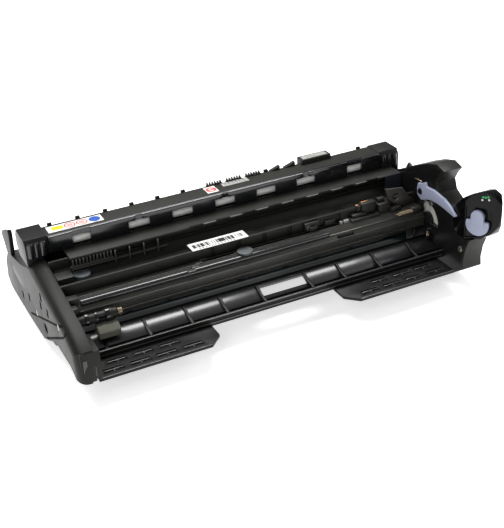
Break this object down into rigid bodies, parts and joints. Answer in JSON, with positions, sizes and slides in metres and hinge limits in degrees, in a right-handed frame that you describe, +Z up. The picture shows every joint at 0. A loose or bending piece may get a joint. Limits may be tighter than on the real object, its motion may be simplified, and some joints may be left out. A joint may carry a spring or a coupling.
{
  "type": "printer drum unit",
  "caption": "Long low printer drum unit with open toner bay, drum under a cleaner casing, windowed guide bar, two cheeks, front paper flaps and a lock lever.",
  "frame": {"origin": "middle of the bounding box in plan, on the surface that the unit stands on", "axes": "+X along the drum towards the drive end, +Y towards the rear housing, +Z up"},
  "size_m": [0.31, 0.206, 0.0875],
  "materials": {
    "housing_black": "matte moulded, fine texture",
    "gloss_black": "glossy moulded",
    "drum_coat": "smooth coated tube",
    "white_plastic": "smooth natural white",
    "steel": "ground bar",
    "spring_gold": "bright wire",
    "soft_black": "soft, matt",
    "blade_clear": "translucent strip",
    "foam": "open cell foam",
    "lavender": "smooth",
    "grey_blue": "smooth",
    "film": "thin film",
    "bronze_bush": "low friction plastic",
    "light_pipe": "smooth rod",
    "zinc_plate": "yellow plated sheet",
    "bracket_brown": "matt",
    "screw_steel": "plated"
  },
  "bodies": {
    "base": {"main_frame": "housing_black", "front_guide_beam": "housing_black", "lower_guide_plate": "gloss_black", "left_end_plate": "housing_black", "right_end_plate": "housing_black", "drum_bushes": "bronze_bush", "charge_roller_bearings": "white_plastic", "charge_roller_springs": "spring_gold", "cleaner_casing": "housing_black", "light_guide": "light_pipe", "blade_bracket": "zinc_plate", "cleaning_blade": "blade_clear", "waste_pipe": "housing_black", "pipe_spring": "spring_gold", "foam_pad": "foam", "window_guide": "gloss_black", "bar_top_cover": "gloss_black", "bar_end_cap_left": "gloss_black", "bar_end_cap_right": "gloss_black", "rear_housing": "housing_black", "left_side_cover": "housing_black", "contact_plates": "zinc_plate", "right_side_cover": "housing_black", "right_front_housing": "gloss_black", "return_wire": "spring_gold", "pull_spring": "spring_gold", "contact_spring": "spring_gold", "cover_screws": "screw_steel", "round_pads": "grey_blue", "flag_bracket": "bracket_brown", "film_flap": "film", "left_guide_shoe": "grey_blue"},
    "drum": {"opc_drum": "drum_coat", "drum_drive_flange": "white_plastic", "drum_hub_flange": "white_plastic", "drum_shaft": "steel"},
    "charge_roller_set": {"charge_roller": "soft_black", "charge_roller_shaft": "steel"},
    "drive_idler": {"drive_idler_gear": "white_plastic"},
    "auger_set": {"waste_auger": "bronze_bush", "auger_gear": "white_plastic"},
    "roller_axle": {"idler_shaft": "steel", "window_rollers": "white_plastic"},
    "lever": {"lock_lever": "lavender"},
    "arm": {"link_arm": "lavender"}
  },
  "joints": [
    {"name": "drum_spin", "type": "hinge", "parent": "base", "child": "drum", "pos_m": [0, -0.009, 0.022], "axis": [1, 0, 0], "continuous": true},
    {"name": "charge_roller_spin", "type": "hinge", "parent": "base", "child": "charge_roller_set", "pos_m": [0, 0.00373, 0.03717], "axis": [1, 0, 0], "continuous": true},
    {"name": "drive_idler_spin", "type": "hinge", "parent": "base", "child": "drive_idler", "pos_m": [0, -0.03335, 0.03843], "axis": [1, 0, 0], "continuous": true},
    {"name": "auger_spin", "type": "hinge", "parent": "base", "child": "auger_set", "pos_m": [0, -0.02254, 0.03997], "axis": [1, 0, 0], "continuous": true},
    {"name": "roller_axle_spin", "type": "hinge", "parent": "base", "child": "roller_axle", "pos_m": [0, 0.0231, 0.06805], "axis": [1, 0, 0], "continuous": true},
    {"name": "lock_lever_turn", "type": "hinge", "parent": "base", "child": "lever", "pos_m": [0.14219, -0.08831, 0.056], "axis": [-0.848, -0.5299, 0], "range_deg": [0, 20]},
    {"name": "link_arm_swing", "type": "hinge", "parent": "base", "child": "arm", "pos_m": [0.1356, -0.028, 0.06], "axis": [-1, 0, 0], "range_deg": [0, 6]}
  ],
  "couplings": [
    {"joint": "charge_roller_spin", "follows": "drum_spin", "ratio": -3.3333},
    {"joint": "drive_idler_spin", "follows": "drum_spin", "ratio": -1.2381},
    {"joint": "auger_spin", "follows": "drum_spin", "ratio": -0.89474},
    {"joint": "link_arm_swing", "follows": "lock_lever_turn", "ratio": 0.3}
  ]
}
